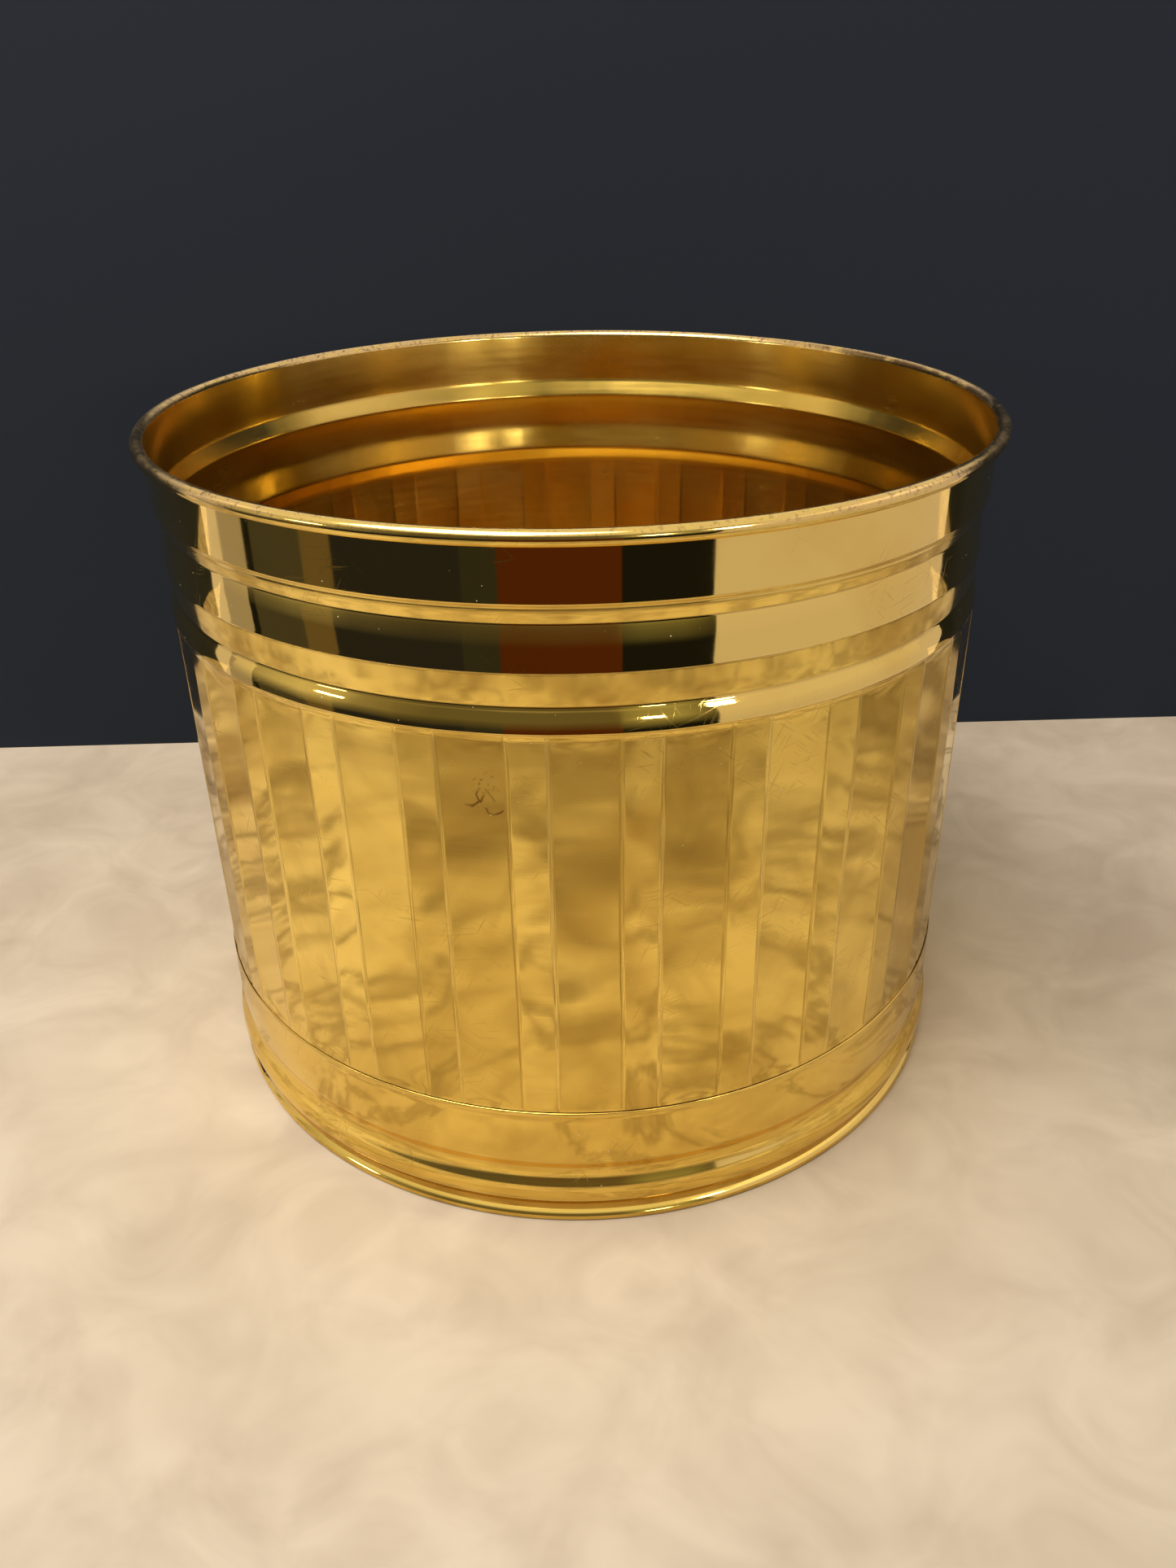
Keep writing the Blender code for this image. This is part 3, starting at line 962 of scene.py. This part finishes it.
def mirrored_stone(tree, place, reach, turned_off, cloud):
    """The table's colour in reflections: paler and veined, with painted light at the sides and painted
    shade close by and far off.
    """
    spread = ranged(tree, reach, 0.13, 0.23, 0.70, 1.0)
    veined = times(tree, ranged(tree, cloud, 0.42, 0.60, 0.0, 1.0), spread)
    color = mixed(tree, veined, MIRROR_PALE, MIRROR_CLOUDED)
    # Painted light: in reflections the table is lighter at the sides.
    side_start = ranged(tree, turned_off, 0.50, 0.90, 0.0, 0.48)
    side_end = ranged(tree, turned_off, 1.10, 1.60, 1.0, 0.0)
    color = mixed(tree, times(tree, side_start, side_end), color, MIRROR_SIDE_LIGHT)
    vein = maths(tree, "SUBTRACT", noise_on(tree, place, 16.0, 6.0, 0.6, 1.0), 0.5)
    vein = ranged(tree, maths(tree, "ABSOLUTE", vein), 0.004, 0.040, 0.75, 0.0)
    color = mixed(tree, times(tree, vein, spread), color, MIRROR_VEIN)
    # Painted shade: in reflections the table darkens far off.
    far = ranged(tree, reach, 0.22, MIRROR_REACH, 0.0, 0.68)
    far = times(tree, far, ranged(tree, turned_off, 0.35, 1.0, 1.0, 0.25))
    color = mixed(tree, far, color, MIRROR_FAR_SHADE)
    # Painted shadow: in reflections the table darkens close to the foot.
    return mixed(tree, ranged(tree, reach, 0.115, 0.22, 0.45, 0.0), color, MIRROR_CLOSE_SHADOW)


def open_where(tree, mask):
    """Let rays pass through a material where a mask is 1."""
    opening = add_node(tree, "ShaderNodeBsdfTransparent")
    result = add_node(tree, "ShaderNodeMixShader")
    tree.links.new(mask, result.inputs[0])
    tree.links.new(tree.nodes["Principled BSDF"].outputs[0], result.inputs[1])
    tree.links.new(opening.outputs[0], result.inputs[2])
    tree.links.new(result.outputs[0], tree.nodes["Material Output"].inputs["Surface"])


def table_stone():
    """Pale clouded stone, with its other look in reflections."""
    material = bpy.data.materials.new("pale_table")
    material.use_nodes = True
    tree = material.node_tree
    shader = tree.nodes["Principled BSDF"]
    shader.inputs["Roughness"].default_value = 0.60
    shader.inputs["Specular IOR Level"].default_value = 0.0
    place, around, reach, _ = turned_place(tree)
    turned_off = maths(tree, "ABSOLUTE", around)
    wide_cloud = times(tree, noise_on(tree, place, 9.0, 4.0, 0.55, 0.8), 0.5)
    fine_cloud = times(tree, noise_on(tree, place, 30.0, 3.0, 0.55, 1.2), 0.5)
    cloud = maths(tree, "ADD", wide_cloud, fine_cloud)
    plain = mixed(tree, ranged(tree, cloud, 0.38, 0.66, 0.0, 1.0), PALE_STONE, CLOUDED_STONE)
    mirrored = add_node(tree, "ShaderNodeLightPath").outputs["Is Glossy Ray"]
    color = mixed(tree, mirrored, plain, mirrored_stone(tree, place, reach, turned_off, cloud))
    tree.links.new(color, shader.inputs["Base Color"])
    far_off = maths(tree, "GREATER_THAN", reach, MIRROR_REACH)
    not_behind = maths(tree, "LESS_THAN", turned_off, MIRROR_SIDE)
    open_where(tree, times(tree, mirrored, far_off, not_behind))
    return material


bpy.ops.object.select_all(action="DESELECT")
bpy.ops.mesh.primitive_plane_add(size=TABLE_SIDE, location=(0.0, 0.0, 0.0))
table = bpy.context.object
table.name = "pale_table"
table.data.materials.append(table_stone())


# Backdrop: a plain dark wall close behind, seen from the front only. Reflections near it pass through, so
# that the back of the basket mirrors the table and only the ends of the mirror bands show the wall.

BACKDROP_PLACE = 0.166
BACKDROP_HEIGHT = 0.30
BACKDROP_WIDTH = 2.6
BACKDROP_BLUE = (0.0076, 0.0104, 0.0180)
BACKDROP_SHEEN = (0.58, 0.72, 1.0)
NEAR_REFLECTION = 0.185


def backdrop_paint():
    """Dull dark blue paint that rays from behind and near reflections pass through."""
    material = bpy.data.materials.new("dark_backdrop")
    material.use_nodes = True
    tree = material.node_tree
    shader = tree.nodes["Principled BSDF"]
    shader.inputs["Base Color"].default_value = (*BACKDROP_BLUE, 1.0)
    shader.inputs["Roughness"].default_value = 0.8
    shader.inputs["Specular IOR Level"].default_value = 0.65
    shader.inputs["Specular Tint"].default_value = (*BACKDROP_SHEEN, 1.0)
    facing_away = add_node(tree, "ShaderNodeNewGeometry").outputs["Backfacing"]
    ray = add_node(tree, "ShaderNodeLightPath")
    near_ray = maths(tree, "LESS_THAN", ray.outputs["Ray Length"], NEAR_REFLECTION)
    near_mirror = times(tree, near_ray, ray.outputs["Is Glossy Ray"])
    open_where(tree, maths(tree, "MAXIMUM", facing_away, near_mirror))
    return material


bpy.ops.object.select_all(action="DESELECT")
bpy.ops.mesh.primitive_plane_add(
    size=1.0, location=(0.0, BACKDROP_PLACE, 0.5 * BACKDROP_HEIGHT), rotation=(0.5 * math.pi, 0.0, 0.0)
)
backdrop = bpy.context.object
backdrop.name = "dark_backdrop"
backdrop.scale = (BACKDROP_WIDTH, BACKDROP_HEIGHT, 1.0)
settle(backdrop)
backdrop.data.materials.append(backdrop_paint())
backdrop.visible_diffuse = False
backdrop.visible_shadow = False
backdrop.visible_transmission = False


# Light: a dim plain surround, paler overhead, with soft boxes above and at the sides and small lamps
# for the bright points on the ring and the foot and for the glow inside the mouth.

# Each stop: degrees round from the front, to the right, and a colour.
SURROUND = (
    (-180.0, 0.010, 0.010, 0.010),
    (-92.0, 0.060, 0.055, 0.050),
    (-75.0, 0.130, 0.095, 0.060),
    (-66.0, 0.020, 0.020, 0.030),
    (-30.0, 0.030, 0.030, 0.030),
    (-21.0, 0.075, 0.020, 0.004),
    (10.0, 0.010, 0.010, 0.010),
)
LOW_SKY = (
    (-180.0, 0.10, 0.09, 0.07), (-100.0, 0.32, 0.28, 0.21), (-78.0, 0.66, 0.58, 0.44),
    (-66.0, 0.54, 0.47, 0.34), (-60.0, 0.29, 0.25, 0.18), (-40.0, 0.14, 0.120, 0.080),
    (8.0, 0.14, 0.116, 0.076), (16.0, 0.34, 0.31, 0.18), (27.0, 0.34, 0.31, 0.18),
    (36.0, 0.11, 0.092, 0.060), (179.0, 0.10, 0.09, 0.07),
)
CEILING_LIGHT = (0.36, 0.31, 0.24)
CEILING_MIRRORED = (0.92, 0.83, 0.67)
SEEN_GREY = (0.40, 0.39, 0.38)

world = bpy.data.worlds.new("dim_surround")
bpy.context.scene.world = world
world.use_nodes = True
sky = world.node_tree
direction = add_node(sky, "ShaderNodeSeparateXYZ")
sky.links.new(add_node(sky, "ShaderNodeTexCoord").outputs["Generated"], direction.inputs[0])
forward = times(sky, direction.outputs["Y"], -1.0)
heading = maths(sky, "ARCTAN2", direction.outputs["X"], forward)
turned_share = ranged(sky, heading, -math.pi, math.pi, 0.0, 1.0)


def around_ramp(stops, interpolation):
    """A colour for each direction round the basket, from stops."""
    ramp = add_node(sky, "ShaderNodeValToRGB")
    ramp.color_ramp.interpolation = interpolation
    for angle, red, green, blue in stops:
        start = (angle + 180.0) / 360.0
        stop = ramp.color_ramp.elements[0] if start == 0.0 else ramp.color_ramp.elements.new(start)
        stop.color = (red, green, blue, 1.0)
    ramp.color_ramp.elements.remove(ramp.color_ramp.elements[-1])
    sky.links.new(turned_share, ramp.inputs["Fac"])
    return ramp.outputs["Color"]


lower_sky = ranged(sky, direction.outputs["Z"], -0.20, 0.10, 0.0, 1.0)
raised_behind = times(sky, direction.outputs["Y"], 0.15)
overhead = maths(sky, "ADD", direction.outputs["Z"], raised_behind)
overhead = ranged(sky, overhead, 0.34, 0.60, 0.0, 1.0)
sky_ray = add_node(sky, "ShaderNodeLightPath")
ceiling = mixed(sky, sky_ray.outputs["Is Glossy Ray"], CEILING_LIGHT, CEILING_MIRRORED)
sky_color = mixed(sky, lower_sky, around_ramp(SURROUND, "CONSTANT"), around_ramp(LOW_SKY, "LINEAR"))
sky_color = mixed(sky, overhead, sky_color, ceiling)
sky_color = mixed(sky, sky_ray.outputs["Is Camera Ray"], sky_color, SEEN_GREY)
sky.links.new(sky_color, sky.nodes["Background"].inputs["Color"])

# Each lamp: its place, aim, width, height, power and colour, and whether it lights more than mirrors.
WARM_WHITE = (1.0, 0.92, 0.80)
PANEL_WHITE = (1.0, 0.865, 0.94)
LAMPS = (
    ("main_softbox", (-0.28, -0.32, 1.0), (0.0, -0.05, 0.0), 0.7, 0.6, 9.0, WARM_WHITE, True),
    ("right_panel", (0.50, -0.335, 0.10), (-1.0, -0.335, 0.10), 0.89, 0.9, 1.55, PANEL_WHITE, False),
    ("left_panel", (-0.50, 0.0625, 0.10), (1.0, 0.0625, 0.10), 0.055, 0.9, 0.10, PANEL_WHITE, False),
    ("left_dim_panel", (-0.50, -0.0075, 0.10), (1.0, -0.0075, 0.10), 0.085, 0.9, 0.082, PANEL_WHITE, False),
    ("right_lamp", (0.48, -1.45, 0.40), (0.0, 0.0, 0.10), 0.16, 0.12, 1.2, WARM_WHITE, True),
    ("left_lamp", (-1.30, -0.60, 0.42), (0.0, 0.0, 0.10), 0.22, 0.08, 0.9, WARM_WHITE, True),
    ("mouth_lamp", (0.27, -0.41, 0.30), (-0.03, 0.10, 0.16), 0.06, 0.06, 0.30, WARM_WHITE, False),
)
for name, place, aim, width, height, power, color, lights_all in LAMPS:
    data = bpy.data.lights.new(name, "AREA")
    data.shape = "RECTANGLE"
    data.size = width
    data.size_y = height
    data.energy = power
    data.color = color
    lamp = bpy.data.objects.new(name, data)
    bpy.context.collection.objects.link(lamp)
    lamp.location = place
    lamp.rotation_euler = (Vector(aim) - Vector(place)).to_track_quat("-Z", "Y").to_euler()
    lamp.visible_camera = False
    lamp.visible_diffuse = lights_all


# Camera: in front of the basket and a little above it, looking down into the mouth. Its place, aim and
# lens are those of a pinhole camera fitted to the basket's outlines.

CAMERA_PLACE = Vector((-0.0039, -0.3254, 0.2477))
CAMERA_PITCH = math.radians(29.13)
CAMERA_YAW = math.radians(1.16)
CAMERA_ROLL = math.radians(-1.01)
FOCAL_PIXELS = 1530.0
FRAME_HEIGHT_PIXELS = 1927.0
SENSOR_WIDTH = 36.0

ahead = Vector((
    math.sin(CAMERA_YAW) * math.cos(CAMERA_PITCH),
    math.cos(CAMERA_YAW) * math.cos(CAMERA_PITCH),
    -math.sin(CAMERA_PITCH),
))
level = Vector((math.cos(CAMERA_YAW), -math.sin(CAMERA_YAW), 0.0))
upward = level.cross(ahead)
side = level * math.cos(CAMERA_ROLL) + upward * math.sin(CAMERA_ROLL)
top = upward * math.cos(CAMERA_ROLL) - level * math.sin(CAMERA_ROLL)
camera_data = bpy.data.cameras.new("camera")
camera_data.sensor_width = SENSOR_WIDTH
camera_data.lens = SENSOR_WIDTH * FOCAL_PIXELS / FRAME_HEIGHT_PIXELS
camera = bpy.data.objects.new("camera", camera_data)
bpy.context.collection.objects.link(camera)
turned = Matrix((side, top, -ahead)).transposed().to_4x4()
camera.matrix_world = Matrix.Translation(CAMERA_PLACE) @ turned
bpy.context.scene.camera = camera
bpy.context.scene.view_settings.view_transform = "Standard"
